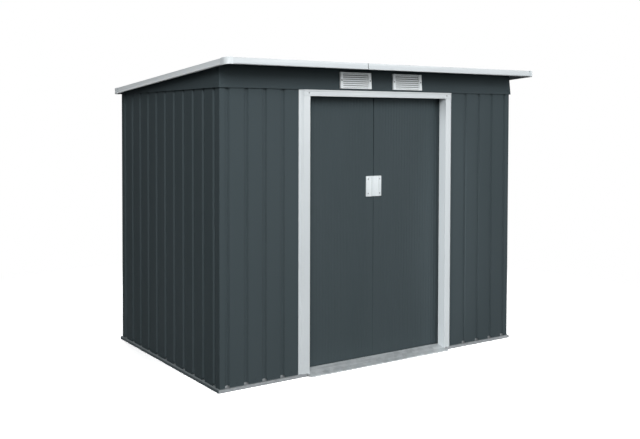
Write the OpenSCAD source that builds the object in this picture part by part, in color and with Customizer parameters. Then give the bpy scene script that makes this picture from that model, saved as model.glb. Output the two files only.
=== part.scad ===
// Metal storage shed with a single-slope roof, pressed steel walls and two sliding doors.
// Millimetres. +Z is up, the doors face -Y, and the origin is on the ground under the middle of the roof.

/* [Walls] */
// Width over the wall faces
wall_w = 2018; // [1800:1:2600]
// Depth over the wall faces
wall_d = 1187; // [1000:1:1600]
// Height of the pressed walls above the ground
wall_h = 1482; // [1300:1:1700]
// Thickness of the wall, roof and door sheets
sheet = 0.6; // [0.4:0.1:1]
// Spacing of the pressed grooves
groove_pitch = 108; // [90:1:130]
// Width of a groove at the face of the sheet
groove_w = 26; // [18:1:36]
// Width of a groove's floor
groove_floor = 12; // [6:1:14]
// Depth of a groove
groove_depth = 9; // [5:0.5:12]
// Height by which a sheet is cut back at the foot of each groove
groove_cut = 11; // [4:1:20]
// First groove on the front wall, from its corner
front_first_groove = 44; // [30:1:80]
// First groove on a side wall, from its front corner
side_first_groove = 54; // [30:1:80]
// Groove at which the two sheets of a side wall meet, counted from the front
side_joint_groove = 4; // [2:1:6]
// Groove at which the two sheets of the back wall meet
back_joint_groove = 9; // [5:1:12]
// How far the wall sheets run up behind the frieze and gables
wall_lap = 8; // [4:1:10]
// How far the lower edge of the frieze and gables stands out
band_out = 7; // [4:1:9]
// Height over which the frieze and gables lean out
band_lean_h = 110; // [95:1:140]

/* [Base] */
// How far the floor rails stand out from the walls
rail_out = 10; // [6:1:10]
// Height of the rail's ledge, on which the wall sheets stand
rail_h = 16; // [12:1:22]
// Height of the rail's upstand behind the wall sheets
rail_upstand = 50; // [36:1:80]
// Reach of the rail's floor flange, from the wall face
rail_floor = 45; // [36:1:48]
// Thickness of the floor rails, door tracks and sill
rail_t = 1; // [0.8:0.1:1.5]
// Radius of an anchor hole
anchor_r = 4; // [3:0.5:5]
// Distance of the anchor holes from the front and back wall faces
anchor_end = 150; // [110:1:250]

/* [Doorway] */
// Clear width between the jambs
opening_w = 954; // [800:1:1000]
// Width of a jamb's face
jamb_face = 39; // [24:1:50]
// Width of the slope from a jamb's face to its flange
jamb_slope = 12; // [8:1:24]
// Width of a jamb's flange, on the left wall sheet and behind the right one
jamb_flange = 16; // [10:1:24]
// How far a jamb's face stands out from its flange
jamb_proud = 7; // [4:1:9]
// Depth of the reveal behind a jamb's face
reveal_d = 50; // [30:1:54]
// Sheet thickness of the jambs and header
frame_t = 1; // [0.8:0.1:1.5]
// Height of the header
header_h = 33; // [24:1:45]
// How far the header's two beads stand out
header_bead = 2; // [1:0.5:3]
// Height of each bead on the header
header_bead_h = 7; // [5:1:9]
// Depth of the soffit behind the header
soffit_d = 30; // [20:1:40]
// Height of the sill's inner edge
sill_h = 24; // [18:1:30]
// Reach of the sill in front of the wall face
sill_out = 34; // [20:1:60]
// Height of the sill's turned-down front edge
sill_lip = 6; // [3:1:10]
// How far the sill runs under each jamb
sill_under = 9; // [4:1:14]

/* [Doors] */
// Depth of the doors' front faces behind the wall face
door_set = 60; // [58:1:75]
// Thickness of a door over its folded edges
door_t = 20; // [16:1:24]
// How far a closed door reaches behind its jamb
door_behind = 25; // [15:1:40]
// How far a door's foot reaches below the sill's inner edge
door_low = 6; // [4:1:8]
// Gap between the two closed doors
door_gap = 6; // [5:1:10]
// How far a door's top reaches above the header's lower edge
door_above = 15; // [10:1:18]
// Spacing of the fine ribs pressed in the doors
door_rib_pitch = 20; // [16:1:30]
// Width of a fine rib at the door's face
door_rib_w = 12; // [8:1:14]
// Width of a fine rib's floor
door_rib_floor = 6; // [3:1:7]
// Depth of the fine ribs
door_rib_depth = 1; // [0.5:0.1:2]
// Height of the stiffeners inside a door
stiffener_h = 40; // [25:1:60]
// Length of a glide
glide_l = 40; // [25:1:60]
// Distance of a glide from the door's edge
glide_end = 60; // [40:1:100]
// Room in front of a door, behind the lower track's upstand
door_room = 5.5; // [5:0.5:8]
// Reach of the lower track behind a door
track_reach = 17; // [10:1:25]
// Room between a door's faces and the upper track's lips
lip_room = 10; // [6:1:14]
// Height of the upper track above the wall sheets
track_above = 4; // [2:1:6]
// Height of the upper track's flange above the header's lower edge
flange_above = 5; // [3:1:8]
// Room between an upper glide and its track's web
glide_room = 6; // [5:1:8]
// Room between a door's foot and the lower track's rib
rib_room = 6; // [5:0.5:8]
// Depth of the upper track's lips
track_lip = 24; // [20:1:26]
// Running clearance of the glides
run_gap = 0.3; // [0.2:0.1:0.6]
// Height of the handles
handle_h = 112; // [80:1:160]
// Width of one handle
handle_w = 50; // [44:1:70]
// How far a handle stands out from its door
handle_d = 19; // [14:1:22]
// Height of the middle of the handles
handle_z = 963; // [700:1:1100]

/* [Roof] */
// Overhang at the sides
side_over = 47; // [30:1:90]
// Overhang at the front
front_over = 149; // [80:1:220]
// Overhang at the back
back_over = 11; // [11:1:60]
// Height of the roof trim's lower edge at the front, above the walls
roof_rise = 103.5; // [90:0.5:160]
// Fall of the roof from its front edge to its back edge
roof_fall = 103; // [60:1:103]
// Height of the roof trim
trim_h = 32; // [28:1:40]
// Width of the trim's top lip
trim_lip = 26; // [18:1:36]
// Sheet thickness of the roof trim
trim_t = 0.8; // [0.6:0.1:1.2]
// How far the bead along the trim's lower edge stands out
trim_bead = 2; // [1:0.5:3]
// Height of that bead
trim_bead_h = 6; // [4:1:8]
// Joint of the two front trims, from the left wall face
trim_joint = 797; // [500:1:1200]
// Gap at that joint
trim_gap = 4; // [1:0.5:6]
// Height of a corner cap
cap_h = 34; // [34:1:48]
// Length of a corner cap's leg along the front and back
cap_leg = 37; // [30:1:60]
// Length of a corner cap's leg along the sides
cap_side_leg = 54; // [36:1:70]
// Wall of a corner cap
cap_t = 1.5; // [1:0.1:2.5]
// Height of a roof beam
beam_h = 40; // [25:1:50]
// Width of a roof beam
beam_w = 30; // [20:1:45]

/* [Vents] */
// Width of a vent
vent_w = 209; // [160:1:260]
// Height of a vent
vent_h = 87; // [60:1:91]
// Height of a vent's lower edge above the frieze's
vent_up = 9; // [4:1:12]
// Distance of a vent from the middle of the shed
vent_in = 77; // [40:1:120]
// How far a vent stands out
vent_d = 10; // [6:1:14]
// Border of a vent
vent_border = 7; // [5:1:14]
// Number of louvres in a vent
louvres = 7; // [4:1:9]
// Thickness of a louvre
louvre_t = 2; // [1.5:0.1:3]
// Lean of a louvre from the level
louvre_lean = 56; // [30:1:60]

/* [Inside rails] */
// Height of the top rails' lower edge below the wall tops
top_rail_drop = 34; // [26:1:60]
// Height of the middle of the wall braces
brace_z = 740; // [500:1:900]
// Height of a wall brace
brace_h = 40; // [25:1:60]
// Depth of a wall brace
brace_d = 20; // [12:1:30]
// Sheet thickness of the inside rails, beams and stiffeners
inner_t = 0.8; // [0.6:0.1:1.2]

/* [Hidden] */
$fn = 48;
// Gap at a seat where two sheets meet without touching
seat = 0.2;
// Room added to a cutting body
over = 60;

anthracite = "#3b4245";
white = "#dfe5e8";
zinc = "#a3abae";
nylon = "#202426";

roof_d = front_over + wall_d + back_over;
roof_w = wall_w + 2 * side_over;
slope = atan(roof_fall / roof_d);
// The sloping caps reach a little further back at their tops than forward at their feet.
cap_lean = (2 * (trim_h + cap_t) - cap_h) * sin(slope) / 2;
roof_y = -roof_d / 2 - cap_lean;
front_y = roof_y + front_over;
back_y = front_y + wall_d;
roof_len = roof_d / cos(slope);
roof_z = wall_h + roof_rise;
roof_top_w = trim_h - trim_t;
roof_flat_w = roof_top_w - groove_depth - sheet;

wall_top = wall_h + wall_lap;
inner_d = groove_depth + sheet;
half_open = opening_w / 2;
jamb_outer = half_open + jamb_face + jamb_slope + jamb_flange;
left_wall_end = half_open + jamb_face / 2;
right_wall_end = jamb_outer - jamb_flange + 2 * seat;
sill_half = half_open + sill_under;
header_z = wall_h - header_h;
header_half = half_open + jamb_face;
face_v = -(jamb_proud + frame_t);
// The frame ends below the frieze's lower edge, sheet and all.
frame_top = wall_h - sheet - seat;

door_x = -half_open - door_behind;
door_z = sill_h - door_low;
track_rib_h = door_z - rib_room;
door_top = header_z + door_above;
door_back = door_set + door_t;
door_inner = door_set + door_rib_depth + sheet;
track_front = door_set - door_room - rail_t;
track_back = door_back + track_reach;
track_mid = door_set + door_t / 2;
top_track_z = wall_top + track_above;
top_track_low = header_z + flange_above;
lip_front = door_set - lip_room;
lip_back = door_back + lip_room + rail_t;

// Bent sheet: a path of bends, with the sheet's thickness on the path's left.
function left_normal(a, b) = let (d = (b - a) / norm(b - a)) [-d.y, d.x];
function mitre(m, n) = (m + n) / (1 + m * n);
function offset_path(p, t) = [
    for (i = [0:len(p) - 1])
        let (m = i > 0 ? left_normal(p[i - 1], p[i]) : left_normal(p[0], p[1]))
        let (n = i < len(p) - 1 ? left_normal(p[i], p[i + 1]) : m)
        p[i] + t * mitre(m, n)
];
function bent(p, t) = let (q = offset_path(p, t)) concat(p, [for (i = [len(q) - 1:-1:0]) q[i]]);

// Face line of a pressed sheet from s0 to s1. An end that lies on a groove stays on its floor.
function in_groove(s, centres, floor_w) = len([for (c = centres) if (abs(s - c) < floor_w / 2) c]) > 0;
function groove(c, w, floor_w, depth) = [
    [c - w / 2, 0], [c - floor_w / 2, depth], [c + floor_w / 2, depth], [c + w / 2, 0]
];
function pressed(s0, s1, centres, w, floor_w, depth) = concat(
    [[s0, in_groove(s0, centres, floor_w) ? depth : 0]],
    [for (c = centres) each [for (p = groove(c, w, floor_w, depth)) if (p.x > s0 && p.x < s1) p]],
    [[s1, in_groove(s1, centres, floor_w) ? depth : 0]]
);
function wall_line(s0, s1, centres) = pressed(s0, s1, centres, groove_w, groove_floor, groove_depth);

// Groove centres of the walls and of the roof, along each.
front_grooves = [
    for (s = front_first_groove; s + groove_w / 2 < wall_w / 2 - jamb_outer; s = s + groove_pitch) s
];
side_grooves = [for (s = side_first_groove; s + groove_w < wall_d; s = s + groove_pitch) s];
side_joint = side_first_groove + (side_joint_groove - 1) * groove_pitch;
back_count = floor((wall_w - 2 * groove_w) / groove_pitch);
back_first = (wall_w - (back_count - 1) * groove_pitch) / 2;
back_grooves = [for (i = [0:back_count - 1]) back_first + i * groove_pitch];
back_joint = back_first + (back_joint_groove - 1) * groove_pitch;
roof_count = 2 * floor((roof_w / 2 - groove_w) / groove_pitch) + 1;
roof_ribs = [for (i = [0:roof_count - 1]) (i - (roof_count - 1) / 2) * groove_pitch];
roof_joint = 3 * groove_pitch;

// Each side of the shed has its own frame: s along the wall, d into the shed, z up.
module front_side() { translate([-wall_w / 2, front_y, 0]) children(); }
module back_side() { translate([wall_w / 2, back_y, 0]) rotate([0, 0, 180]) children(); }
module right_side() { translate([wall_w / 2, front_y, 0]) rotate([0, 0, 90]) children(); }
module left_side() { mirror([1, 0, 0]) right_side() children(); }
module doorway() { translate([0, front_y, 0]) children(); }
module right_half() { mirror([1, 0, 0]) children(); }

// Extrusions of an outline: along s (drawn in d and z), along Y (drawn in X and Z), and up.
module along_s(s0, s1) { translate([s0, 0, 0]) rotate([90, 0, 90]) linear_extrude(s1 - s0) children(); }
module along_y(y0, y1) { translate([0, y1, 0]) rotate([90, 0, 0]) linear_extrude(y1 - y0) children(); }
module upright(z0, z1) { translate([0, 0, z0]) linear_extrude(z1 - z0) children(); }

// Plan of one side, cut at 45 degrees at the ends that meet another side.
module mitred(l, start = true, end = true) {
    reach = 300;
    intersection() {
        children();
        upright(-over, 2 * wall_h)
            polygon([
                [start ? -over : 0, -over], [end ? l + over : l, -over],
                [end ? l - reach : l, reach], [start ? reach : 0, reach],
            ]);
    }
}

// Roof frame: X across, Y down the slope from the front edge, Z out of the roof.
module on_roof() { translate([0, roof_y, roof_z]) rotate([-slope, 0, 0]) children(); }
function under_roof(y) = roof_z + roof_flat_w / cos(slope) - (y - roof_y) * tan(slope) - seat;
module below_roof() {
    intersection() {
        children();
        along_s(-roof_w / 2, roof_w / 2)
            polygon([
                [roof_y, 0], [-roof_y, 0], [-roof_y, under_roof(-roof_y)], [roof_y, under_roof(roof_y)],
            ]);
    }
}

// Floor rails: folded strips that lie on the ground, with a ledge for the wall sheets.
module rail_strip(s0, s1) {
    along_s(s0, s1)
        polygon(bent([
            [inner_d, rail_upstand], [inner_d, rail_h], [-rail_out, rail_h], [-rail_out, 0], [rail_floor, 0],
        ], rail_t));
}

module anchor_holes() {
    hole_d = (inner_d + rail_t + rail_floor) / 2;
    for (s = [anchor_end, wall_d - anchor_end])
        translate([s, hole_d, -over / 2]) cylinder(r = anchor_r, h = over);
}

module side_rail() {
    difference() {
        mitred(wall_d) rail_strip(-rail_out, wall_d + rail_out);
        anchor_holes();
    }
}

module half_front_rail() {
    mitred(wall_w, true, false)
        rail_strip(-rail_out, wall_w / 2 - sill_half - seat);
}

module front_floor_rail_left() { color(zinc) front_side() half_front_rail(); }
module front_floor_rail_right() { color(zinc) right_half() front_side() half_front_rail(); }
module left_floor_rail() { color(anthracite) left_side() side_rail(); }
module right_floor_rail() { color(anthracite) right_side() side_rail(); }
module back_floor_rail() {
    color(anthracite) back_side() mitred(wall_w) rail_strip(-rail_out, wall_w + rail_out);
}

// Lower door track: an angle on the floor with a rib that the glides straddle.
module bottom_door_track() {
    rib_t = 2 * rail_t;
    track_half = wall_w / 2 - rail_floor;
    color(zinc) doorway() union() {
        along_s(-track_half, track_half)
            polygon(bent([[track_front, sill_h], [track_front, 0], [track_back, 0]], rail_t));
        translate([-track_half, track_mid - rib_t / 2, rail_t / 2])
            cube([2 * track_half, rib_t, track_rib_h - rail_t / 2]);
    }
}

// Sloping sill between the jambs, from the lower track out to the ground.
sill_in = track_front - 2 * seat;
function sill_z(v) = sill_lip + (v + sill_out) * (sill_h - sill_lip) / (sill_in + sill_out);
module door_sill() {
    color(zinc) doorway() along_s(-sill_half, sill_half)
        polygon(bent([[sill_in, sill_h], [-sill_out, sill_lip], [-sill_out, 0]], rail_t));
}

// Wall sheets: they stand on the rails' ledges, in front of the upstands, which show at the cut grooves.
module wall_sheet(s0, s1, grooves, top) {
    difference() {
        upright(rail_h, top) polygon(bent(wall_line(s0, s1, grooves), sheet));
        for (s = grooves) translate([s - groove_w / 2, -over, rail_h - over])
            cube([groove_w, 2 * over, groove_cut + over]);
    }
}
module half_front_wall(end) {
    mitred(wall_w, true, false) wall_sheet(0, wall_w / 2 - end, front_grooves, wall_top);
}
module side_front_sheet() {
    mitred(wall_d, true, false) wall_sheet(0, side_joint, side_grooves, wall_top);
}
module side_back_sheet() {
    mitred(wall_d, false, true) wall_sheet(side_joint + seat, wall_d, side_grooves, wall_top);
}
back_wall_top = under_roof(back_y);

module front_left_wall() { color(anthracite) front_side() half_front_wall(left_wall_end); }
module front_right_wall() { color(anthracite) right_half() front_side() half_front_wall(right_wall_end); }
module left_wall_front() { color(anthracite) left_side() side_front_sheet(); }
module left_wall_back() { color(anthracite) left_side() side_back_sheet(); }
module right_wall_front() { color(anthracite) right_side() side_front_sheet(); }
module right_wall_back() { color(anthracite) right_side() side_back_sheet(); }
module back_wall_right() {
    color(anthracite) back_side() mitred(wall_w, true, false)
        wall_sheet(0, back_joint, back_grooves, back_wall_top);
}
module back_wall_left() {
    color(anthracite) back_side() mitred(wall_w, false, true)
        wall_sheet(back_joint + seat, wall_w, back_grooves, back_wall_top);
}

// Smooth bands over the walls, which lean out so that their lower edges lap over the pressed sheets.
band_lean = atan(band_out / band_lean_h);
function band_face(z) = -band_out + (z - wall_h) * tan(band_lean);
function band_back(z) = band_face(z) + sheet / cos(band_lean);
module leaning_band(s0, s1) {
    along_s(s0, s1)
        polygon(bent([[0, roof_z + trim_h], [0, wall_h + band_lean_h], [-band_out, wall_h]], sheet));
}
vent_z = wall_h + vent_up;
module on_frieze() { translate([0, band_face(vent_z), vent_z]) rotate([-band_lean, 0, 0]) children(); }
module vent_hole() {
    translate([vent_in + vent_border, -over, vent_border])
        cube([vent_w - 2 * vent_border, 2 * over, vent_h - 2 * vent_border]);
}
module front_frieze() {
    color(anthracite) difference() {
        below_roof() front_side() mitred(wall_w) leaning_band(-band_out, wall_w + band_out);
        doorway() on_frieze() vent_hole();
        right_half() doorway() on_frieze() vent_hole();
    }
}
module gable() {
    l = wall_d - sheet - seat;
    below_roof() right_side() mitred(l, true, false) leaning_band(-band_out, l);
}
module right_gable() { color(anthracite) gable(); }
module left_gable() { color(anthracite) right_half() gable(); }

// Top rails: they tie the side sheets to the gables, and stiffen the back wall's top.
rail_start = lip_back + 2 * rail_t;
rail_low = wall_h - top_rail_drop;
module side_top_rail() {
    step_z = wall_top + seat;
    flange_z = step_z + top_rail_drop;
    below_roof() right_side() along_s(rail_start, wall_d - inner_d - rail_floor)
        polygon(bent([
            [inner_d, rail_low], [inner_d, step_z], [band_back(step_z) + seat, step_z],
            [band_back(flange_z) + seat, flange_z],
        ], -inner_t));
}
module right_top_rail() { color(zinc) side_top_rail(); }
module left_top_rail() { color(zinc) right_half() side_top_rail(); }
module back_top_rail() {
    color(zinc) back_side() along_s(inner_d + inner_t + seat, wall_w - inner_d - inner_t - seat)
        polygon(bent([[inner_d, rail_low], [inner_d, wall_h], [inner_d + rail_floor / 2, wall_h]], -inner_t));
}

// Upper door track: a channel behind the frieze in which the doors' upper glides run.
module top_door_track() {
    track_half = wall_w / 2 - inner_d - inner_t - seat;
    color(zinc) doorway() union() {
        along_s(-track_half, track_half)
            polygon(bent([
                [inner_d, top_track_low], [inner_d, top_track_z], [lip_back, top_track_z],
                [lip_back, top_track_z - track_lip],
            ], -rail_t));
        translate([-track_half, lip_front - rail_t, top_track_z - track_lip])
            cube([2 * track_half, rail_t, track_lip - rail_t / 2]);
    }
}

// Channels across the inside of the side and back walls, at half height.
module brace(s0, s1) {
    tip = inner_d + brace_d;
    top = brace_z + brace_h / 2;
    along_s(s0, s1)
        polygon(bent([[tip, top], [inner_d, top], [inner_d, top - brace_h], [tip, top - brace_h]], inner_t));
}
module wall_braces() {
    color(zinc) {
        left_side() brace(rail_start, wall_d - rail_floor);
        right_side() brace(rail_start, wall_d - rail_floor);
        back_side() brace(rail_floor, wall_w - rail_floor);
    }
}

// Roof beams across the shed, under the roof sheets, from gable to gable.
module roof_beams() {
    half = wall_w / 2;
    color(zinc) on_roof() for (third = [1, 2])
        translate([0, (front_over + third * wall_d / 3) / cos(slope), roof_flat_w - seat])
            along_s(-half, half)
                polygon(bent([
                    [beam_w / 2, -beam_h], [beam_w / 2, 0], [-beam_w / 2, 0], [-beam_w / 2, -beam_h],
                ], inner_t));
}

// Roof sheets with raised ribs that run down the slope.
module roof_sheet(x0, x1) {
    edge = trim_bead + 2 * trim_t;
    color(anthracite) on_roof() along_y(edge, roof_len - edge) translate([0, roof_flat_w])
        polygon(bent(wall_line(x0, x1, roof_ribs), sheet));
}
roof_edge = roof_w / 2 - trim_bead - 2 * trim_t;
module left_roof_panel() { roof_sheet(-roof_edge, -roof_joint); }
module middle_roof_panel() { roof_sheet(-roof_joint + seat, roof_joint - seat); }
module right_roof_panel() { roof_sheet(roof_joint, roof_edge); }

// Roof trim: an angle with a beaded lower edge, drawn inwards from the roof's edge.
module trim_outline() {
    polygon(bent([
        [trim_lip, trim_h], [trim_bead, trim_h], [trim_bead, trim_bead_h + trim_bead], [0, trim_bead_h],
        [0, 0], [trim_lip / 3, 0],
    ], trim_t));
}
module trim_run(l, s0, s1, start, end) { mitred(l, start, end) along_s(s0, s1) trim_outline(); }
module roof_front() { on_roof() translate([-roof_w / 2, 0, 0]) children(); }
module roof_side() { on_roof() translate([roof_w / 2, 0, 0]) rotate([0, 0, 90]) children(); }
module roof_back() { on_roof() translate([roof_w / 2, roof_len, 0]) rotate([0, 0, 180]) children(); }
module side_trim() { roof_side() trim_run(roof_len, 0, roof_len, true, true); }
front_joint = side_over + trim_joint;

module front_roof_trim_left() { color(white) roof_front() trim_run(roof_w, 0, front_joint, true, false); }
module front_roof_trim_right() {
    color(white) roof_front() trim_run(roof_w, front_joint + trim_gap, roof_w, false, true);
}
module right_roof_trim() { color(white) side_trim(); }
module left_roof_trim() { color(white) right_half() side_trim(); }
module back_roof_trim() { color(white) roof_back() trim_run(roof_w, 0, roof_w, true, true); }

// Moulded cap over a corner of the trim, open underneath and towards the roof.
module corner_cap() {
    difference() {
        translate([-cap_t, -cap_t, trim_h + cap_t - cap_h])
            cube([cap_leg + cap_t, cap_side_leg + cap_t, cap_h]);
        translate([0, 0, trim_h - cap_h - over]) cube([cap_leg + over, cap_side_leg + over, cap_h + over]);
    }
}
module roof_corner_caps() {
    color(white) {
        roof_front() corner_cap();
        right_half() roof_front() corner_cap();
        right_half() roof_back() corner_cap();
        roof_back() corner_cap();
    }
}

// Door jamb: flange along the wall sheet, slope, face and reveal. Its foot follows the ledge and the
// sill, and its head is notched behind the wall for the upper track.
module jamb(flange_v) {
    outer = -jamb_outer;
    difference() {
        upright(sill_lip, frame_top)
            polygon(bent([
                [outer, flange_v], [outer + jamb_flange, flange_v],
                [outer + jamb_flange + jamb_slope, face_v], [-half_open, face_v],
                [-half_open, face_v + reveal_d], [-half_open - jamb_face / 3, face_v + reveal_d],
            ], frame_t));
        translate([-wall_w / 2, -over, 0]) cube([wall_w / 2 - sill_half - seat, 2 * over, rail_h]);
        translate([-wall_w / 2, inner_d - seat, top_track_low - seat]) cube([wall_w / 2, over, over]);
        along_s(-sill_half - 2 * seat, 0)
            polygon([[-over, 0], [over, 0], [over, sill_z(over) + seat], [-over, sill_z(-over) + seat]]);
    }
}
module left_door_jamb() { color(white) doorway() jamb(-frame_t); }
module right_door_jamb() { color(white) right_half() doorway() jamb(sheet + seat); }

// Header over the doorway: a beaded face across both jambs and a soffit between them.
module door_header() {
    back = face_v;
    rim = back - frame_t - header_bead;
    low = header_z;
    high = frame_top;
    color(white) doorway() union() {
        along_s(-header_half, header_half)
            polygon(bent([
                [back, high], [rim, high], [rim, high - header_bead_h],
                [rim + header_bead, high - header_bead_h - header_bead],
                [rim + header_bead, low + header_bead_h + header_bead], [rim, low + header_bead_h],
                [rim, low], [back, low],
            ], frame_t));
        along_s(-half_open + seat, half_open - seat)
            translate([back - frame_t, low]) square([soffit_d, frame_t]);
    }
}

// Louvred vent on the frieze: a border with sloping slats, open behind.
module vent() {
    slat_h = vent_h - 2 * vent_border;
    pitch = slat_h / louvres;
    reach = (vent_d - louvre_t * sin(louvre_lean)) / cos(louvre_lean) - louvre_t;
    translate([vent_in, -vent_d, 0]) {
        difference() {
            cube([vent_w, vent_d, vent_h]);
            translate([vent_border, -over, vent_border])
                cube([vent_w - 2 * vent_border, 2 * over, slat_h]);
        }
        for (i = [0:louvres - 1])
            translate([vent_border / 2, louvre_t * sin(louvre_lean), vent_border + i * pitch + louvre_t / 2])
                rotate([louvre_lean, 0, 0])
                    cube([vent_w - vent_border, reach, louvre_t]);
    }
}
module right_vent() { color(white) doorway() on_frieze() vent(); }
module left_vent() { color(white) right_half() doorway() on_frieze() vent(); }

// Sliding door: a finely ribbed sheet with its two upright edges folded back.
module left_panel() {
    meet = -door_gap / 2;
    ribs = [for (x = door_x + door_rib_pitch; x + door_rib_pitch < meet; x = x + door_rib_pitch) x];
    line = pressed(door_x, meet, ribs, door_rib_w, door_rib_floor, door_rib_depth);
    face = [for (p = line) [p.x, p.y + door_set]];
    upright(door_z, door_top)
        polygon(bent(concat([[door_x, door_back]], face, [[meet, door_back]]), sheet));
}
module left_door_panel() { color(anthracite) doorway() left_panel(); }
module right_door_panel() { color(anthracite) right_half() doorway() left_panel(); }

// Channels across the foot and the head of a door, behind its sheet.
module left_stiffeners() {
    tip = door_back - sheet;
    along_s(door_x + sheet, -door_gap / 2 - sheet)
        for (z = [door_z, door_top - stiffener_h])
            polygon(bent([
                [tip, z + stiffener_h], [door_inner, z + stiffener_h], [door_inner, z], [tip, z],
            ], inner_t));
}
module left_door_stiffeners() { color(zinc) doorway() left_stiffeners(); }
module right_door_stiffeners() { color(zinc) right_half() doorway() left_stiffeners(); }

// Moulded handle half: a finger hollow that rises from the meeting edge to a ridge.
module left_handle() {
    foot = 4;
    ridge = handle_w - 17;
    rise = handle_d - foot;
    hollow_r = (ridge * ridge + rise * rise) / (2 * rise);
    translate([-door_gap / 2, door_set, handle_z - handle_h / 2]) mirror([1, 0, 0])
        linear_extrude(handle_h) difference() {
            polygon([
                [0, 0], [0, -handle_d], [ridge + 7, -handle_d], [ridge + 12, -foot], [handle_w, -foot],
                [handle_w, 0],
            ]);
            translate([0, -foot - hollow_r]) circle(r = hollow_r);
        }
}
module left_door_handle() { color(white) doorway() left_handle(); }
module right_door_handle() { color(white) right_half() doorway() left_handle(); }

// Nylon glides: the lower ones straddle the track's rib, the upper ones run between its lips.
module left_glides() {
    side = door_t / 2 - 2;
    slot_half = rail_t + 2 * run_gap;
    upper_half = lip_back - rail_t - run_gap;
    for (x = [door_x + glide_end, -door_gap / 2 - glide_end]) translate([x - glide_l / 2, 0, 0]) {
        difference() {
            translate([0, track_mid - side, track_rib_h / 2])
                cube([glide_l, 2 * side, door_z - track_rib_h / 2]);
            translate([-over, track_mid - slot_half, 0])
                cube([glide_l + 2 * over, 2 * slot_half, track_rib_h + run_gap]);
        }
        translate([0, lip_front + run_gap, door_top])
            cube([glide_l, upper_half - lip_front - run_gap, top_track_z - rail_t - glide_room - door_top]);
    }
}
module left_door_glides() { color(nylon) doorway() left_glides(); }
module right_door_glides() { color(nylon) right_half() doorway() left_glides(); }

front_floor_rail_left();
front_floor_rail_right();
left_floor_rail();
right_floor_rail();
back_floor_rail();
bottom_door_track();
door_sill();
front_left_wall();
front_right_wall();
left_wall_front();
left_wall_back();
right_wall_front();
right_wall_back();
back_wall_left();
back_wall_right();
front_frieze();
left_gable();
right_gable();
left_top_rail();
right_top_rail();
back_top_rail();
top_door_track();
wall_braces();
roof_beams();
left_roof_panel();
middle_roof_panel();
right_roof_panel();
front_roof_trim_left();
front_roof_trim_right();
left_roof_trim();
right_roof_trim();
back_roof_trim();
roof_corner_caps();
left_door_jamb();
right_door_jamb();
door_header();
left_vent();
right_vent();
left_door_panel();
right_door_panel();
left_door_stiffeners();
right_door_stiffeners();
left_door_handle();
right_door_handle();
left_door_glides();
right_door_glides();
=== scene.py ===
import math

import bmesh
import bpy
from mathutils import Matrix, Vector


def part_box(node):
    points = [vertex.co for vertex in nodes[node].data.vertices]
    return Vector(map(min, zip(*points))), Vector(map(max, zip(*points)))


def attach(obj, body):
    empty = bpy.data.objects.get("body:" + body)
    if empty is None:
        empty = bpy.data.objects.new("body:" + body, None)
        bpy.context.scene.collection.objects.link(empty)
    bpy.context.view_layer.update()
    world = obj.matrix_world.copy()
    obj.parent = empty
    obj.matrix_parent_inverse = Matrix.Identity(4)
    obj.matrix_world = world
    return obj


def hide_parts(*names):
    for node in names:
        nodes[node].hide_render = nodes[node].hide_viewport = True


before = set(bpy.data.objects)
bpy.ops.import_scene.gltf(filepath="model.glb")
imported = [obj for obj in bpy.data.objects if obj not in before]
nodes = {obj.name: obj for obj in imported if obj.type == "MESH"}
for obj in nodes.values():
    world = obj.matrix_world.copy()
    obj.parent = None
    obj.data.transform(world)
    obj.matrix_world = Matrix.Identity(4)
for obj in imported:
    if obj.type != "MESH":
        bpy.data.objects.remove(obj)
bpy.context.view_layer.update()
scene = bpy.context.scene
scene.view_settings.view_transform = "Standard"

# The camera stands in front and to the left, a little below eye level, and looks slightly down.
# Its shift keeps the shed where the photograph has it, with the upright edges all but parallel.
CAMERA_PLACE = (-2.9903, -4.0099, 1.3136)
CAMERA_TURN = math.radians(31.376)
CAMERA_DIP = math.radians(1.73)
CAMERA_FILM = 36.0
CAMERA_LENS = 46.866
CAMERA_SHIFT = (0.1175, -0.1125)
camera = bpy.data.objects.new("camera", bpy.data.cameras.new("camera"))
camera.data.sensor_width = CAMERA_FILM
camera.data.lens = CAMERA_LENS
camera.data.shift_x, camera.data.shift_y = CAMERA_SHIFT
camera.location = CAMERA_PLACE
camera.rotation_euler = (math.pi / 2 - CAMERA_DIP, 0.0, -CAMERA_TURN)
scene.collection.objects.link(camera)
scene.camera = camera

# Surround: a white card where it is seen directly or in a reflection, and a faint dome for the light.
# The dome is brightest towards the front left and dies away behind the shed.
WHITE = (1, 1, 1, 1)
DOME_FRONT = 0.72
DOME_BACK = -0.55
DOME_LEAST = 0.04
DOME_HEADING = (-0.4, -0.9, 0.05)


def math_step(tree, operation, *values):
    step = tree.nodes.new("ShaderNodeMath")
    step.operation = operation
    for socket, value in zip(step.inputs, values):
        if isinstance(value, bpy.types.NodeSocket):
            tree.links.new(value, socket)
        else:
            socket.default_value = value
    return step.outputs[0]


def map_range(tree, value, start, end, low, high, smooth=False):
    span = tree.nodes.new("ShaderNodeMapRange")
    if smooth:
        span.interpolation_type = "SMOOTHSTEP"
    for name, number in (("From Min", start), ("From Max", end), ("To Min", low), ("To Max", high)):
        span.inputs[name].default_value = number
    tree.links.new(value, span.inputs["Value"])
    return span.outputs["Result"]


def mix_shaders(tree, factor, first, second):
    mix = tree.nodes.new("ShaderNodeMixShader")
    tree.links.new(factor, mix.inputs["Fac"])
    tree.links.new(first.outputs[0], mix.inputs[1])
    tree.links.new(second.outputs[0], mix.inputs[2])
    return mix.outputs[0]


def seen_directly(tree):
    path = tree.nodes.new("ShaderNodeLightPath").outputs
    seen_or_mirrored = math_step(tree, "MAXIMUM", path["Is Camera Ray"], path["Is Glossy Ray"])
    return math_step(tree, "MAXIMUM", seen_or_mirrored, path["Is Transmission Ray"])


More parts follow.
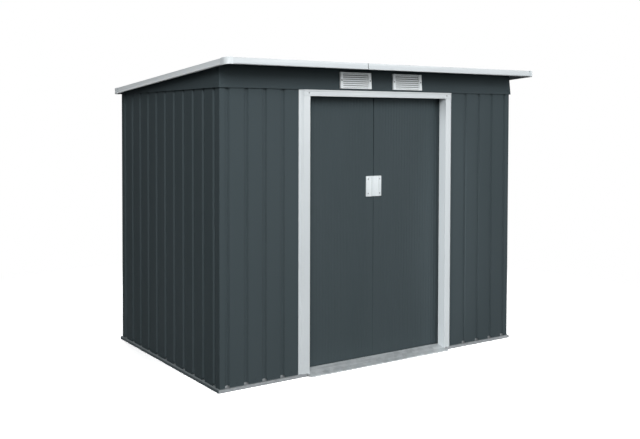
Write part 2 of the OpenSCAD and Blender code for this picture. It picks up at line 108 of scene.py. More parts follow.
world = bpy.data.worlds.new("studio")
world.use_nodes = True
scene.world = world
tree = world.node_tree
around = tree.nodes.new("ShaderNodeTexCoord")
heading = tree.nodes.new("ShaderNodeVectorMath")
heading.operation = "DOT_PRODUCT"
heading.inputs[1].default_value = DOME_HEADING
tree.links.new(around.outputs["Generated"], heading.inputs[0])
dome = map_range(tree, heading.outputs["Value"], -1, 1, DOME_BACK, DOME_FRONT)
dome_light = tree.nodes["Background"]
dome_light.inputs["Color"].default_value = WHITE
tree.links.new(math_step(tree, "MAXIMUM", dome, DOME_LEAST), dome_light.inputs["Strength"])
white_card = tree.nodes.new("ShaderNodeBackground")
white_card.inputs["Color"].default_value = WHITE
surround = mix_shaders(tree, seen_directly(tree), dome_light, white_card)
tree.links.new(surround, tree.nodes["World Output"].inputs["Surface"])

# Floor: matt near the shed, where it keeps the shadow, and fading farther out into the white surround.
# It looks white where it is seen directly or in a reflection, but throws little light back at the shed.
FLOOR_BOUNCE = 0.15
FLOOR_WHITE = 1.9
FLOOR_REACH = 60.0
FADE_START = 1.5
FADE_END = 3.2
floor_paint = bpy.data.materials.new("studio_floor")
floor_paint.use_nodes = True
tree = floor_paint.node_tree
tree.nodes.remove(tree.nodes["Principled BSDF"])
direct = seen_directly(tree)
matt = tree.nodes.new("ShaderNodeBsdfDiffuse")
tree.links.new(map_range(tree, direct, 0, 1, FLOOR_BOUNCE, FLOOR_WHITE), matt.inputs["Color"])
on_floor = tree.nodes.new("ShaderNodeTexCoord")
away = tree.nodes.new("ShaderNodeVectorMath")
away.operation = "LENGTH"
tree.links.new(on_floor.outputs["Object"], away.inputs[0])
fade = map_range(tree, away.outputs["Value"], FADE_START, FADE_END, 0, 1, smooth=True)
white_ground = tree.nodes.new("ShaderNodeEmission")
white_ground.inputs["Color"].default_value = WHITE
ground = mix_shaders(tree, math_step(tree, "MULTIPLY", fade, direct), matt, white_ground)
tree.links.new(ground, tree.nodes["Material Output"].inputs["Surface"])

bm = bmesh.new()
bmesh.ops.create_grid(bm, x_segments=1, y_segments=1, size=FLOOR_REACH)
floor_mesh = bpy.data.meshes.new("studio_floor")
bm.to_mesh(floor_mesh)
bm.free()
floor = bpy.data.objects.new("studio_floor", floor_mesh)
floor_mesh.materials.append(floor_paint)
scene.collection.objects.link(floor)

# Lamps: a soft key light at the front left, with weaker ones at the front right, the right and the back.
# A slim spot at the far left reaches into the doorway and lights the right jamb's inner face.
SOFT_LIGHTS = (
    ("key_light", (-3.1, -4.3, 3.7), (-0.6, -0.5, 0.7), (2.4, 2.4), 236.0),
    ("right_light", (2.6, -4.4, 2.3), (0.4, -0.5, 0.7), (2.6, 2.0), 90.0),
    ("side_light", (5.2, 0.9, 2.8), (1.0, 0.1, 0.8), (2.5, 2.5), 130.0),
    ("back_light", (1.6, 6.2, 3.4), (0.1, 0.6, 0.8), (4.0, 3.0), 250.0),
)
SPOT_PLACE = (-3.5, -1.5, 0.72)
SPOT_AIM = (0.477, -0.51, 0.66)
SPOT_ANGLE = math.radians(23)
SPOT_SLIM = 0.11
SPOT_EDGE = 0.4
SPOT_RADIUS = 0.03
SPOT_POWER = 400.0


def aim_light(lamp, place, aim):
    light = bpy.data.objects.new(lamp.name, lamp)
    light.location = place
    light.rotation_euler = (Vector(aim) - Vector(place)).to_track_quat("-Z", "Y").to_euler()
    light.visible_camera = False
    scene.collection.objects.link(light)
    return light


for name, place, aim, size, power in SOFT_LIGHTS:
    panel = bpy.data.lights.new(name, "AREA")
    panel.shape = "RECTANGLE"
    panel.size, panel.size_y = size
    panel.energy = power
    aim_light(panel, place, aim)
spot = bpy.data.lights.new("doorway_light", "SPOT")
spot.spot_size = SPOT_ANGLE
spot.spot_blend = SPOT_EDGE
spot.shadow_soft_size = SPOT_RADIUS
spot.energy = SPOT_POWER
doorway_light = aim_light(spot, SPOT_PLACE, SPOT_AIM)
doorway_light.scale = (SPOT_SLIM, 1, 1)

# Front floor rails, door tracks and stiffeners, top rails, braces and beams: folded galvanised steel strip.
# The zinc has weathered dull, with spangles about two centimetres across and fine streaks along the strip.
ZINC_DULL = (0.20, 0.215, 0.225)
ZINC_BRIGHT = (0.29, 0.31, 0.32)
ZINC_METAL = 0.3
ZINC_ROUGH = (0.48, 0.60)
SPANGLES = 45.0
STREAK_SHARE = 0.65
STREAK_RELIEF = (0.15, 0.0005)
STREAKS_ACROSS = (6, 260, 260)
STREAKS_ALONG = (260, 6, 260)
STREAKS_UPRIGHT = (260, 260, 6)
CLOUDS_FROM = 0.3
CLOUDS_TO = 0.7


def new_finish(name):
    finish = bpy.data.materials.new(name)
    finish.use_nodes = True
    return finish, finish.node_tree, finish.node_tree.nodes["Principled BSDF"]


def place_on(tree, stretch=(1, 1, 1)):
    coords = tree.nodes.new("ShaderNodeTexCoord")
    mapping = tree.nodes.new("ShaderNodeMapping")
    mapping.inputs["Scale"].default_value = stretch
    tree.links.new(coords.outputs["Object"], mapping.inputs["Vector"])
    return mapping.outputs["Vector"]


def clouds(tree, scale, stretch=(1, 1, 1), detail=3.0):
    noise = tree.nodes.new("ShaderNodeTexNoise")
    noise.inputs["Scale"].default_value = scale
    noise.inputs["Detail"].default_value = detail
    tree.links.new(place_on(tree, stretch), noise.inputs["Vector"])
    return noise.outputs["Fac"]


def between(tree, pattern, low, high):
    return map_range(tree, pattern, CLOUDS_FROM, CLOUDS_TO, low, high)


def tint(tree, factor, first, second):
    mix = tree.nodes.new("ShaderNodeMix")
    mix.data_type = "RGBA"
    mix.inputs["A"].default_value = (*first, 1)
    mix.inputs["B"].default_value = (*second, 1)
    tree.links.new(factor, mix.inputs["Factor"])
    return mix


def relief(tree, pattern, strength, depth, under=None):
    bump = tree.nodes.new("ShaderNodeBump")
    bump.inputs["Strength"].default_value = strength
    bump.inputs["Distance"].default_value = depth
    tree.links.new(pattern, bump.inputs["Height"])
    if under:
        tree.links.new(under, bump.inputs["Normal"])
    return bump.outputs["Normal"]


def zinc_finish(name, dull, bright, streaks):
    finish, tree, surface = new_finish(name)
    spangle = tree.nodes.new("ShaderNodeTexVoronoi")
    spangle.inputs["Scale"].default_value = SPANGLES
    tree.links.new(place_on(tree), spangle.inputs["Vector"])
    flecks = tree.nodes.new("ShaderNodeMix")
    flecks.data_type = "FLOAT"
    flecks.inputs["Factor"].default_value = STREAK_SHARE
    tree.links.new(spangle.outputs["Color"], flecks.inputs["A"])
    tree.links.new(clouds(tree, 1.0, streaks, detail=4.0), flecks.inputs["B"])
    tone = tint(tree, between(tree, flecks.outputs["Result"], 0, 1), dull, bright)
    tree.links.new(tone.outputs["Result"], surface.inputs["Base Color"])
    tree.links.new(between(tree, spangle.outputs["Color"], *ZINC_ROUGH), surface.inputs["Roughness"])
    fine_streaks = relief(tree, clouds(tree, 1.0, streaks, detail=2.0), *STREAK_RELIEF)
    tree.links.new(fine_streaks, surface.inputs["Normal"])
    surface.inputs["Metallic"].default_value = ZINC_METAL
    return finish


def wear(finish, *names):
    for name in names:
        nodes[name].data.materials.clear()
        nodes[name].data.materials.append(finish)


zinc = zinc_finish("zinc_across", ZINC_DULL, ZINC_BRIGHT, STREAKS_ACROSS)
zinc_along = zinc_finish("zinc_along", ZINC_DULL, ZINC_BRIGHT, STREAKS_ALONG)
zinc_upright = zinc_finish("zinc_upright", ZINC_DULL, ZINC_BRIGHT, STREAKS_UPRIGHT)
wear(zinc, "front_floor_rail_left", "front_floor_rail_right", "bottom_door_track", "top_door_track")
wear(zinc, "back_top_rail", "roof_beams", "wall_braces")
wear(zinc_along, "left_top_rail", "right_top_rail")
wear(zinc_upright, "left_door_stiffeners", "right_door_stiffeners")

# Sill: a wider strip of newer, brighter zinc that slopes out of the doorway, in front of the lower track.
# Feet have brushed it lengthwise, so its streaks are longer and coarser.
SILL_DULL = (0.36, 0.39, 0.405)
SILL_BRIGHT = (0.55, 0.585, 0.60)
SILL_STREAKS = (2.5, 85, 85)
wear(zinc_finish("brushed_zinc", SILL_DULL, SILL_BRIGHT, SILL_STREAKS), "door_sill")

# Floor rails at the sides and back: folded steel strip, painted a shade lighter than the sheets on it.
# Along the upper bend a pale line is painted on: a painted highlight where the ledge catches the light.
RAIL_DEEP = (0.100, 0.124, 0.131)
RAIL_PALE = (0.115, 0.140, 0.148)
RAIL_PAINTED_HIGHLIGHT = (0.21, 0.235, 0.245)
BEND_HEIGHT = 0.0155
HIGHLIGHT_CORE = 0.001
HIGHLIGHT_EDGE = 0.0035
MATT_ROUGH = 0.55
MATT_SHEEN = 0.005
ROUGH_SPREAD = 0.05
SHADE_CLOUDS = 2.5
SHADE_STRETCH = (1, 1, 0.35)
GLOSS_CLOUDS = 14.0
WAVES = 3.5
WAVE_STRETCH = (1, 1, 0.5)
WAVE_RELIEF = (0.25, 0.004)
PEEL = 420.0
PEEL_RELIEF = (0.06, 0.0004)


def coat_finish(name, deep, pale, rough, sheen):
    finish, tree, surface = new_finish(name)
    shade = between(tree, clouds(tree, SHADE_CLOUDS, SHADE_STRETCH, detail=5.0), 0, 1)
    tree.links.new(tint(tree, shade, deep, pale).outputs["Result"], surface.inputs["Base Color"])
    gloss = clouds(tree, GLOSS_CLOUDS, WAVE_STRETCH)
    dullness = between(tree, gloss, rough - ROUGH_SPREAD, rough + ROUGH_SPREAD)
    tree.links.new(dullness, surface.inputs["Roughness"])
    waves = relief(tree, clouds(tree, WAVES, WAVE_STRETCH, detail=1.0), *WAVE_RELIEF)
    peel = relief(tree, clouds(tree, PEEL), *PEEL_RELIEF, under=waves)
    tree.links.new(peel, surface.inputs["Normal"])
    surface.inputs["Specular IOR Level"].default_value = sheen
    return finish


# Paints a pale highlight line along the rails' upper bend, strongest at the bend's height and fading within
# a few millimetres.
def paint_bend_highlight(finish):
    tree = finish.node_tree
    base = tree.nodes["Principled BSDF"].inputs["Base Color"]
    paint = base.links[0].from_socket
    height = tree.nodes.new("ShaderNodeSeparateXYZ")
    tree.links.new(place_on(tree), height.inputs["Vector"])
    from_bend = math_step(tree, "SUBTRACT", height.outputs["Z"], BEND_HEIGHT)
    highlight = map_range(tree, math_step(tree, "ABSOLUTE", from_bend), HIGHLIGHT_EDGE, HIGHLIGHT_CORE, 0, 1)
    highlighted = tint(tree, highlight, RAIL_PALE, RAIL_PAINTED_HIGHLIGHT)
    tree.links.new(paint, highlighted.inputs["A"])
    tree.links.new(highlighted.outputs["Result"], base)


rail_paint = coat_finish("rail_paint", RAIL_DEEP, RAIL_PALE, MATT_ROUGH, MATT_SHEEN)
paint_bend_highlight(rail_paint)
wear(rail_paint, "left_floor_rail", "right_floor_rail", "back_floor_rail")

# Walls, frieze, gables and doors: thin steel sheet, coated anthracite before it was pressed.
# The coat is matt, with a faint orange peel and the slight waves of sheet that spans between folds.
ANTHRACITE_DEEP = (0.050, 0.066, 0.072)
ANTHRACITE_PALE = (0.055, 0.071, 0.078)
anthracite = coat_finish("anthracite_coat", ANTHRACITE_DEEP, ANTHRACITE_PALE, MATT_ROUGH, MATT_SHEEN)
wear(anthracite, "front_left_wall", "front_right_wall", "left_wall_front", "left_wall_back")
wear(anthracite, "right_wall_front", "right_wall_back", "back_wall_left", "back_wall_right")
wear(anthracite, "front_frieze", "left_gable", "right_gable", "left_door_panel", "right_door_panel")

# Laps: where two wall sheets meet in a groove, the hidden edge of one reaches behind the other.
# The lap closes the joint from inside; its free edge is folded back on itself.
LAP_WIDTH = 0.016
LAP_THICK = 0.0005
LAP_SINK = LAP_THICK / 5
LAP_FOLD = 0.003
LAP_FOOT = 0.05
LAP_TOP = 1.44
SMOOTH_BELOW = math.radians(40)


def new_piece(name, bm, finish, slot, body, *replaced):
    mesh = bpy.data.meshes.new(name)
    bm.to_mesh(mesh)
    bm.free()
    mesh.shade_smooth()
    mesh.set_sharp_from_angle(angle=SMOOTH_BELOW)
    mesh.materials.append(finish)
    piece = bpy.data.objects.new(name, mesh)
    scene.collection.objects.link(piece)
    if replaced:
        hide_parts(*replaced)
    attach(piece, body)
    return piece


def box_between(bm, low, high):
    low, high = Vector(low), Vector(high)
    shape = Matrix.Translation((low + high) / 2) @ Matrix.Diagonal((*(high - low), 1))
    return bmesh.ops.create_cube(bm, size=1, matrix=shape)["verts"]


def lap(name, foot, along, inward):
    edge = LAP_WIDTH / 2
    bm = bmesh.new()
    box_between(bm, (-edge, 0, LAP_FOOT), (edge, LAP_THICK, LAP_TOP))
    box_between(bm, (edge - LAP_FOLD, LAP_THICK, LAP_FOOT), (edge, 2 * LAP_THICK, LAP_TOP))
    turned = Matrix((along, inward, (0, 0, 1))).transposed().to_4x4()
    bmesh.ops.transform(bm, matrix=Matrix.Translation(foot) @ turned, verts=bm.verts)
    bmesh.ops.recalc_face_normals(bm, faces=bm.faces)
    new_piece(name, bm, anthracite, "anthracite_painted_steel", "shell")


for side, sign in (("left", -1), ("right", 1)):
    low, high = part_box(f"{side}_wall_front")
    inner = high.x if sign < 0 else low.x
    lap(f"{side}_wall_lap", (inner - sign * LAP_SINK, high.y, 0), (0, 1, 0), (-sign, 0, 0))
low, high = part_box("back_wall_left")
lap("back_wall_lap", (high.x, low.y - LAP_SINK, 0), (1, 0, 0), (0, -1, 0))

# Door jambs and header: folded steel strip with a white satin coat. The left jamb's flange lies on its wall
# sheet and the right one's behind its own, and a screw near each end holds the header.
WHITE_DEEP = (0.475, 0.515, 0.535)
WHITE_PALE = (0.505, 0.545, 0.565)
SATIN_ROUGH = 0.4
SATIN_SHEEN = 0.8
white_coat = coat_finish("white_coat", WHITE_DEEP, WHITE_PALE, SATIN_ROUGH, SATIN_SHEEN)
wear(white_coat, "left_door_jamb", "right_door_jamb", "door_header")

# Door edges: a folded lip runs down each door's meeting edge from above the handle.
# It widens downwards, so that the gap between the doors narrows towards the sill.
LIP_HIGH = 1.12
LIP_DEPTH = 0.010
LIP_TOP = 0.0002
LIP_FOOT = 0.0026
LIP_ROLL = 0.0002


def round_edges(bm, edges, radius, segments):
    return bmesh.ops.bevel(
        bm, geom=edges, offset=radius, segments=segments, profile=0.5, affect="EDGES", material=-1,
        clamp_overlap=True,
    )


def door_lip(side, sign):
    low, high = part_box(f"{side}_door_panel")
    edge = high.x if sign > 0 else low.x
    bm = bmesh.new()
    box_between(bm, (edge, low.y, low.z), (edge + sign * LIP_TOP, low.y + LIP_DEPTH, LIP_HIGH))
    free = [vert for vert in bm.verts if abs(vert.co.x - edge) > LIP_TOP / 2]
    for vert in free:
        if vert.co.z < LIP_HIGH / 2:
            vert.co.x = edge + sign * LIP_FOOT
    bmesh.ops.recalc_face_normals(bm, faces=bm.faces)
    front = [vert for vert in free if vert.co.y < low.y + LIP_DEPTH / 2]
    rolled = [rim for rim in bm.edges if all(vert in front for vert in rim.verts)]
    round_edges(bm, rolled, LIP_ROLL, segments=2)
    new_piece(f"{side}_door_lip", bm, anthracite, "anthracite_painted_steel", f"{side}_door")


door_lip("left", 1)
door_lip("right", -1)

# Door handles: each door has a moulded half in white plastic, hollowed for the fingers at the meeting edge.
# Beyond the hollow's ridge it drops to a flat flange, and two screws through the flange hold it to the door.
HOLLOW_FOOT = 0.005
RIDGE_START = 0.026
RIDGE_END = 0.029
RIDGE_RISE = 0.014
FLANGE_START = 0.034
FLANGE_RISE = 0.006
HANDLE_GAP = 0.0016
HANDLE_SLICES = 25
HANDLE_ROUND = 0.002
PLASTIC_DEEP = (0.64, 0.69, 0.71)
PLASTIC_PALE = (0.68, 0.73, 0.75)
PLASTIC_ROUGH = 0.5
PLASTIC_CLOUDS = 30.0
PLASTIC_GLOSS = 60.0
GRAIN = 1500.0
GRAIN_RELIEF = (0.1, 0.0002)
SHARP = math.radians(57.3)


def moulded_finish(name, deep, pale, rough):
    finish, tree, surface = new_finish(name)
    shade = tint(tree, clouds(tree, PLASTIC_CLOUDS), deep, pale)
    tree.links.new(shade.outputs["Result"], surface.inputs["Base Color"])
    dullness = between(tree, clouds(tree, PLASTIC_GLOSS), rough - ROUGH_SPREAD, rough + ROUGH_SPREAD)
    tree.links.new(dullness, surface.inputs["Roughness"])
    tree.links.new(relief(tree, clouds(tree, GRAIN), *GRAIN_RELIEF), surface.inputs["Normal"])
    return finish


def slice_at(bm, place, across, clear_outer=False):
    everything = bm.verts[:] + bm.edges[:] + bm.faces[:]
    return bmesh.ops.bisect_plane(
        bm, geom=everything, plane_co=place, plane_no=across, clear_outer=clear_outer,
    )["geom_cut"]


def handle_rise(across):
    if across < RIDGE_START:
        return HOLLOW_FOOT + (RIDGE_RISE - HOLLOW_FOOT) * (across / RIDGE_START) ** 2
    if across < RIDGE_END:
        return RIDGE_RISE
    down = min((across - RIDGE_END) / (FLANGE_START - RIDGE_END), 1)
    return RIDGE_RISE + (FLANGE_RISE - RIDGE_RISE) * down


def door_handle(side, meeting):
    node = f"{side}_door_handle"
    low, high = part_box(node)
    meeting_edge = -meeting * HANDLE_GAP / 2
    if meeting < 0:
        low.x = meeting_edge
    else:
        high.x = meeting_edge
    bm = bmesh.new()
    box_between(bm, low, high)
    for step in range(1, HANDLE_SLICES):
        slice_at(bm, (low.x + (high.x - low.x) * step / HANDLE_SLICES, 0, 0), (1, 0, 0))
    front = [vert for vert in bm.verts if vert.co.y < (low.y + high.y) / 2]
    for vert in front:
        vert.co.y = high.y - handle_rise(abs(vert.co.x - meeting_edge))
    outline = [
        edge for edge in bm.edges
        if edge.calc_face_angle() > SHARP and any(vert in front for vert in edge.verts)
    ]
    round_edges(bm, outline, HANDLE_ROUND, segments=3)
    return new_piece(f"{side}_handle_moulding", bm, white_plastic, "white_plastic", f"{side}_door", node)


white_plastic = moulded_finish("white_plastic", PLASTIC_DEEP, PLASTIC_PALE, PLASTIC_ROUGH)
left_handle = door_handle("left", 1)
right_handle = door_handle("right", -1)

# Door glides: nylon blocks under and over each door that run on the tracks.
# They are moulded black and pushed into the door's folded edges.
NYLON_DEEP = (0.018, 0.020, 0.022)
NYLON_PALE = (0.026, 0.028, 0.030)
NYLON_ROUGH = 0.55
black_nylon = moulded_finish("black_nylon", NYLON_DEEP, NYLON_PALE, NYLON_ROUGH)
wear(black_nylon, "left_door_glides", "right_door_glides")

# Vents: a white moulded frame with wide ends and seven rounded slats, over a hole in the frieze.
# Each leans back with the frieze, and a screw at mid-height of either end holds it.
FRIEZE_OUT = 0.007
FRIEZE_RISE = 0.110
FRIEZE_LEAN = math.atan2(FRIEZE_OUT, FRIEZE_RISE)
VENT_DEPTH = 0.010
VENT_END = 0.017
VENT_RIM = 0.005
VENT_ROUND = 0.0014
SLATS = 7
SLAT_GAP = 0.0025
SLAT_THICK = 0.0026
SLAT_ROUND = 0.0011
SLAT_SET = 0.007
SLAT_LEAN = math.radians(14)
# The vents wear a paler copy of the white plastic: painted light, making up for the shade under the roof's
# overhang.
VENT_PAINTED_LIGHT_DEEP = (0.80, 0.85, 0.87)
VENT_PAINTED_LIGHT_PALE = (0.84, 0.89, 0.91)
vent_plastic_painted_light = moulded_finish("vent_plastic_painted_light", VENT_PAINTED_LIGHT_DEEP, VENT_PAINTED_LIGHT_PALE, PLASTIC_ROUGH)


def vent_size(side):
    low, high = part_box(f"{side}_vent")
    tall = (high.z - low.z - VENT_DEPTH * math.sin(FRIEZE_LEAN)) / math.cos(FRIEZE_LEAN)
    foot = (low.x, low.y + VENT_DEPTH * math.cos(FRIEZE_LEAN), low.z)
    return high.x - low.x, tall, Matrix.Translation(foot) @ Matrix.Rotation(-FRIEZE_LEAN, 4, "X")


def vent_frame(bm, wide, tall):
    box_between(bm, (0, -VENT_DEPTH, 0), (wide, 0, tall))
    for across in (VENT_END, wide - VENT_END):
        slice_at(bm, (across, 0, 0), (1, 0, 0))
    for height in (VENT_RIM, tall - VENT_RIM):
        slice_at(bm, (0, 0, height), (0, 0, 1))
    middle = []
    for face in bm.faces:
        centre = face.calc_center_median()
        if VENT_END < centre.x < wide - VENT_END and VENT_RIM < centre.z < tall - VENT_RIM:
            middle.append(face)
    front, back = sorted(middle, key=lambda face: face.calc_center_median().y)
    bmesh.ops.bridge_loops(bm, edges=list(front.edges) + list(back.edges))
    bmesh.ops.delete(bm, geom=[front, back], context="FACES_ONLY")
    bmesh.ops.recalc_face_normals(bm, faces=bm.faces)
    lips = [
        edge for edge in bm.edges
        if edge.calc_face_angle() > SHARP and all(vert.co.y < -VENT_DEPTH / 2 for vert in edge.verts)
    ]
    round_edges(bm, lips, VENT_ROUND, segments=3)


def vent_slat(bm, wide, half, height):
    reach = VENT_END / 2
    slat = box_between(bm, (reach, -SLAT_THICK / 2, -half), (wide - reach, SLAT_THICK / 2, half))
    edges = dict.fromkeys(edge for vert in slat for edge in vert.link_edges)
    long_edges = [edge for edge in edges if edge.calc_length() > wide / 2]
    rounded = round_edges(bm, long_edges, SLAT_ROUND, segments=2)
    bar = dict.fromkeys(vert for face in rounded["faces"] for vert in face.verts)
    lean = Matrix.Translation((0, -SLAT_SET, height)) @ Matrix.Rotation(-SLAT_LEAN, 4, "X")
    bmesh.ops.transform(bm, matrix=lean, verts=list(bar))


def vent_moulding(side):
    wide, tall, on_frieze = vent_size(side)
    pitch = (tall - 2 * VENT_RIM) / SLATS
    bm = bmesh.new()
    vent_frame(bm, wide, tall)
    for count in range(SLATS):
        vent_slat(bm, wide, (pitch - SLAT_GAP) / 2, VENT_RIM + (count + 0.5) * pitch)
    bmesh.ops.transform(bm, matrix=on_frieze, verts=bm.verts)
    return new_piece(f"{side}_vent_moulding", bm, vent_plastic_painted_light, "white_plastic", "shell", f"{side}_vent")


left_vent = vent_moulding("left")
right_vent = vent_moulding("right")

# Roof sheets and trim: ribbed sheets in the same anthracite, with white folded strips clipped to the edges,
# two of them at the front. At each corner the tips of the strips and of the sheet are nipped off
# under the corner cap.
TIP = 0.016
MERGE = 0.00002
# The side strips get a paler copy of the white coat: painted light, standing in for light the sides don't
# get.
SIDE_PAINTED_LIGHT_DEEP = (0.58, 0.625, 0.645)
SIDE_PAINTED_LIGHT_PALE = (0.61, 0.655, 0.675)
caps_low, caps_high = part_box("roof_corner_caps")


def nipped(node, finish, slot):
    bm = bmesh.new()
    bm.from_mesh(nodes[node].data)
    bmesh.ops.remove_doubles(bm, verts=bm.verts, dist=MERGE)
    for x, to_right in ((caps_low.x, -1), (caps_high.x, 1)):
        for y, to_back in ((caps_low.y, -1), (caps_high.y, 1)):
            outward = Vector((to_right, to_back, 0)).normalized()
            cut = slice_at(bm, Vector((x, y, 0)) - outward * TIP, outward, clear_outer=True)
            rim = [part for part in cut if isinstance(part, bmesh.types.BMEdge)]
            if rim:
                bmesh.ops.holes_fill(bm, edges=rim, sides=0)
    return new_piece(f"{node}_nipped", bm, finish, slot, "shell", node)


roof_sheets = {"middle": nodes["middle_roof_panel"]}
wear(anthracite, "middle_roof_panel")
for side in ("left", "right"):
    roof_sheets[side] = nipped(f"{side}_roof_panel", anthracite, "anthracite_painted_steel")
for node in ("front_roof_trim_left", "front_roof_trim_right", "back_roof_trim"):
    nipped(node, white_coat, "white_painted_steel")
# Painted light: the side strips wear the paler copy of the white coat.
side_white_painted_light = coat_finish("side_white_painted_light_coat", SIDE_PAINTED_LIGHT_DEEP, SIDE_PAINTED_LIGHT_PALE, SATIN_ROUGH, SATIN_SHEEN)
for node in ("left_roof_trim", "right_roof_trim"):
    nipped(node, side_white_painted_light, "white_painted_steel")

# Corner caps: white moulded angles pushed over the ends of the roof trim.
# Their upright corner is a wide round, and their upper edges are a little rounded.
CAP_CORNER = 0.032
CAP_WALL = 0.0015
CAP_NEAR = 0.006
CAP_ROUND = 0.0025
CAP_DEEP = (0.57, 0.615, 0.635)
CAP_PALE = (0.60, 0.645, 0.665)
FLAT = math.radians(1)
STANDING = 0.9
FACING_UP = 0.7


def corner_edges(bm, outer):
    for edge in bm.edges:
        run = edge.verts[0].co - edge.verts[1].co
        middle = (edge.verts[0].co + edge.verts[1].co) / 2
        stands = abs(run.z) > STANDING * run.length and edge.calc_face_angle() > SHARP
        near = abs(middle.x) > caps_high.x - CAP_NEAR and abs(middle.y) > caps_high.y - CAP_NEAR
        if stands and near and edge.is_convex == outer:
            yield edge


def upper_edges(bm):
    for edge in bm.edges:
        if len(edge.link_faces) == 2 and edge.is_convex and edge.calc_face_angle() > SHARP:
            if max(face.normal.z for face in edge.link_faces) > FACING_UP and edge.calc_length() > CAP_ROUND:
                yield edge


cap_plastic = moulded_finish("cap_plastic", CAP_DEEP, CAP_PALE, PLASTIC_ROUGH)
bm = bmesh.new()
bm.from_mesh(nodes["roof_corner_caps"].data)
bmesh.ops.remove_doubles(bm, verts=bm.verts, dist=MERGE)
bmesh.ops.dissolve_limit(bm, angle_limit=FLAT, verts=bm.verts[:], edges=bm.edges[:])
round_edges(bm, list(corner_edges(bm, True)), CAP_CORNER, segments=8)
round_edges(bm, list(corner_edges(bm, False)), CAP_CORNER - CAP_WALL, segments=8)
round_edges(bm, list(upper_edges(bm)), CAP_ROUND, segments=2)
new_piece("corner_cap_mouldings", bm, cap_plastic, "white_plastic", "shell", "roof_corner_caps")

# Screws: self-tapping, with low heads over washers.
# Those in the walls, frieze and gables are painted like the sheet, and those in the header, vents,
# handles and roof are bare zinc.
WASHER = 0.0006
WASHER_SIDES = 10
WASHER_RADII = (1.5, 1.4)
HEAD = 0.0016
HEAD_SIDES = 8
HEAD_RADII = (1.0, 0.6)
SHEET_SCREW = 0.0035
SMALL_SCREW = 0.003
GROOVE_PITCH = 0.108
FRONT_ROW = range(4)
SIDE_ROWS = (("front", range(3)), ("back", range(3, 10)))
BACK_ROWS = (("left", range(-8, 1)), ("right", range(1, 9)))
ROOF_ROWS = (("left", range(-9, -3)), ("middle", range(-3, 3)), ("right", range(3, 9)))
RAIL_SCREW_UP = 0.036
FRONT_SCREW_IN = 0.098
SIDE_SCREW_IN = 0.108
FRIEZE_SCREW_IN = 0.020
FRIEZE_SCREW_UP = 1.503
GABLE_SCREWS = (-0.51, 0.64)
HEADER_SCREW_IN = 0.032
HANDLE_SCREW_IN = 0.037
HANDLE_SCREW_END = 0.0165
BEAM_HALF = 0.015
OUTSIDE = 2.0
BACKWARD = (0, 1, 0)
FORWARD = (0, -1, 0)
DOWN = (0, 0, -1)
painted = (anthracite, "anthracite_painted_steel")
bare = (zinc, "galvanised_steel")


def screw_part(bm, seat, radius, radii, sides, start, thick):
    bmesh.ops.create_cone(
        bm, cap_ends=True, segments=sides, radius1=radius * radii[0], radius2=radius * radii[1], depth=thick,
        matrix=seat @ Matrix.Translation((0, 0, start + thick / 2)),
    )


def drive_screws(name, held, starts, heading, radius, look, body="shell"):
    bm = bmesh.new()
    bpy.context.view_layer.update()
    for start in starts:
        found, place, facing, _ = held.ray_cast(Vector(start), Vector(heading))
        if not found:
            raise ValueError(f"{name}: nothing to hold at {start}")
        seat = Matrix.Translation(place) @ facing.to_track_quat("Z", "Y").to_matrix().to_4x4()
        screw_part(bm, seat, radius, WASHER_RADII, WASHER_SIDES, 0, WASHER)
        screw_part(bm, seat, radius, HEAD_RADII, HEAD_SIDES, WASHER, HEAD)
    finish, slot = look
    new_piece(name, bm, finish, slot, body)


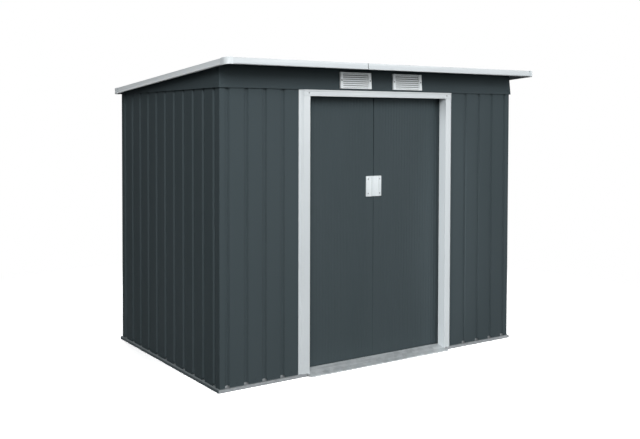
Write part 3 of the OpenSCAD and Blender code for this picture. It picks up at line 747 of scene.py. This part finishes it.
wall_low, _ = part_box("front_left_wall")
for node, sign in (("front_left_wall", -1), ("front_right_wall", 1)):
    first = -wall_low.x - FRONT_SCREW_IN
    starts = [(sign * (first - count * GROOVE_PITCH), -OUTSIDE, RAIL_SCREW_UP) for count in FRONT_ROW]
    drive_screws(f"{node}_screws", nodes[node], starts, BACKWARD, SHEET_SCREW, painted)
for side, sign in (("left", -1), ("right", 1)):
    first = wall_low.y + SIDE_SCREW_IN
    for half, counts in SIDE_ROWS:
        node = f"{side}_wall_{half}"
        starts = [(sign * OUTSIDE, first + count * GROOVE_PITCH, RAIL_SCREW_UP) for count in counts]
        drive_screws(f"{node}_screws", nodes[node], starts, (-sign, 0, 0), SHEET_SCREW, painted)
for side, counts in BACK_ROWS:
    node = f"back_wall_{side}"
    starts = [(count * GROOVE_PITCH, OUTSIDE, RAIL_SCREW_UP) for count in counts]
    drive_screws(f"{node}_screws", nodes[node], starts, FORWARD, SHEET_SCREW, painted)

_, frieze_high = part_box("front_frieze")
starts = [(sign * (frieze_high.x - FRIEZE_SCREW_IN), -OUTSIDE, FRIEZE_SCREW_UP) for sign in (-1, 1)]
drive_screws("frieze_screws", nodes["front_frieze"], starts, BACKWARD, SHEET_SCREW, painted)
for side, sign in (("left", -1), ("right", 1)):
    node = f"{side}_gable"
    starts = [(sign * OUTSIDE, along, FRIEZE_SCREW_UP) for along in GABLE_SCREWS]
    drive_screws(f"{node}_screws", nodes[node], starts, (-sign, 0, 0), SHEET_SCREW, painted)

header_low, header_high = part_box("door_header")
header_middle = (header_low.z + header_high.z) / 2
starts = [(sign * (header_high.x - HEADER_SCREW_IN), -OUTSIDE, header_middle) for sign in (-1, 1)]
drive_screws("header_screws", nodes["door_header"], starts, BACKWARD, SMALL_SCREW, bare)

for side, piece in (("left", left_vent), ("right", right_vent)):
    wide, tall, on_frieze = vent_size(side)
    ends = (VENT_END / 2, wide - VENT_END / 2)
    starts = [on_frieze @ Vector((end, -OUTSIDE, tall / 2)) for end in ends]
    heading = on_frieze.to_3x3() @ Vector(BACKWARD)
    drive_screws(f"{side}_vent_screws", piece, starts, heading, SMALL_SCREW, bare)

for side, piece, sign in (("left", left_handle, -1), ("right", right_handle, 1)):
    low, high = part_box(f"{side}_door_handle")
    across = (high.x if sign < 0 else low.x) + sign * HANDLE_SCREW_IN
    heights = (low.z + HANDLE_SCREW_END, high.z - HANDLE_SCREW_END)
    starts = [(across, -OUTSIDE, height) for height in heights]
    drive_screws(f"{side}_handle_screws", piece, starts, BACKWARD, SMALL_SCREW, bare, f"{side}_door")

beam_low, beam_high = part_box("roof_beams")
beam_lines = (beam_low.y + BEAM_HALF, beam_high.y - BEAM_HALF)
for side, counts in ROOF_ROWS:
    starts = [((count + 0.5) * GROOVE_PITCH, line, OUTSIDE) for count in counts for line in beam_lines]
    drive_screws(f"{side}_roof_screws", roof_sheets[side], starts, DOWN, SHEET_SCREW, bare)
